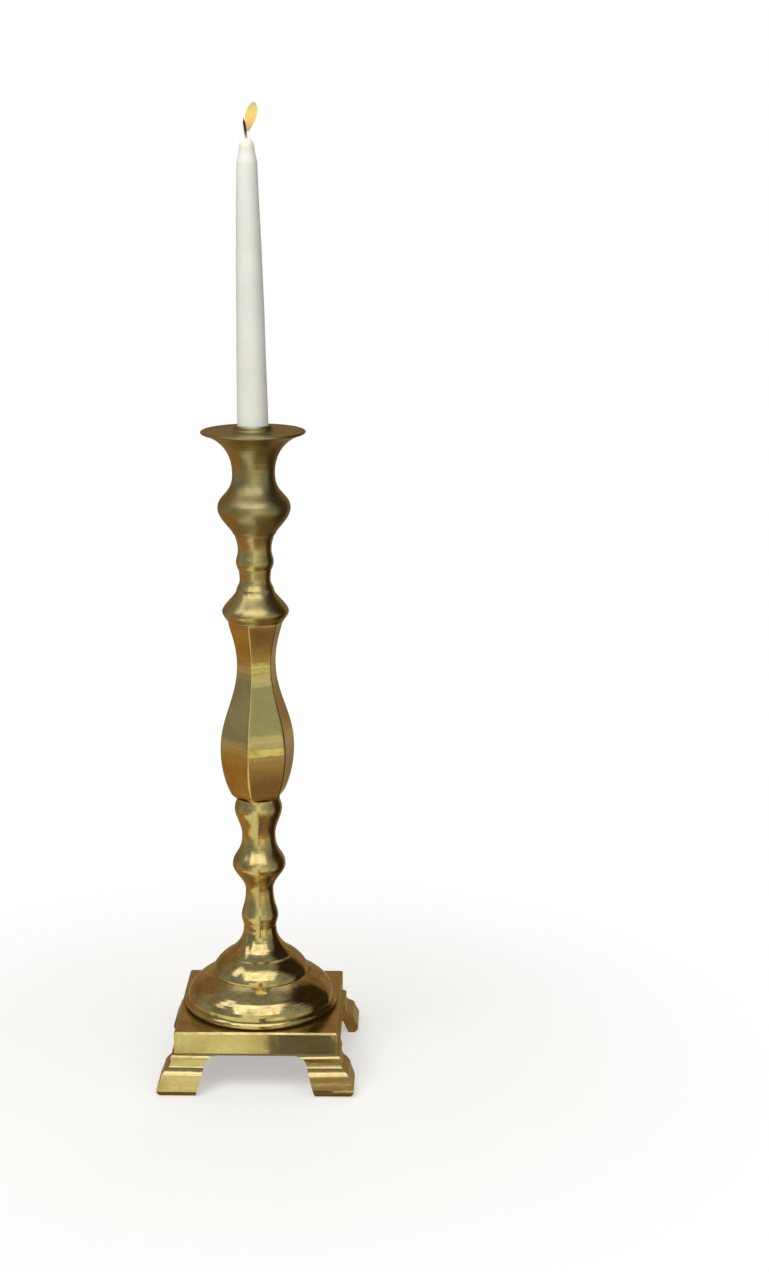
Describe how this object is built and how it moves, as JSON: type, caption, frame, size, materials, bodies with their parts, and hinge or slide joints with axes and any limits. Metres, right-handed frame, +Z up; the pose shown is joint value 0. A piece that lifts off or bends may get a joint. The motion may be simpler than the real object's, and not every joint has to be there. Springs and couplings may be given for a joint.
{
  "type": "altar candlestick",
  "caption": "Tall brass altar candlestick: square plinth on bracket feet, stepped dome, turned stem with a faceted baluster, cup with a flared drip pan, and a taper candle that lifts out.",
  "frame": {"origin": "on the floor under the middle of the square plinth, at the bottom of the bounding box", "axes": "+Z up along the stem, -Y the front of the plinth, +X to the right of a person who faces the front"},
  "size_m": [0.14, 0.14, 0.6746],
  "materials": {
    "brass": "polished, aged",
    "steel": "zinc plated",
    "wax": "satin wax",
    "cotton": "braided, charred"
  },
  "bodies": {
    "candlestick": {"plinth": "brass", "base_dome": "brass", "lower_stem": "brass", "faceted_baluster": "brass", "upper_knop": "brass", "upper_collar": "brass", "socket_cup": "brass", "tie_rod": "steel", "rod_washer": "brass", "spring_washer": "steel", "rod_nut": "steel"},
    "candle": {"candle": "wax", "wick": "cotton"}
  },
  "joints": [
    {"name": "candle_lift", "type": "slide", "parent": "candlestick", "child": "candle", "axis": [0, 0, 1], "range_m": [0, 0.06]}
  ]
}
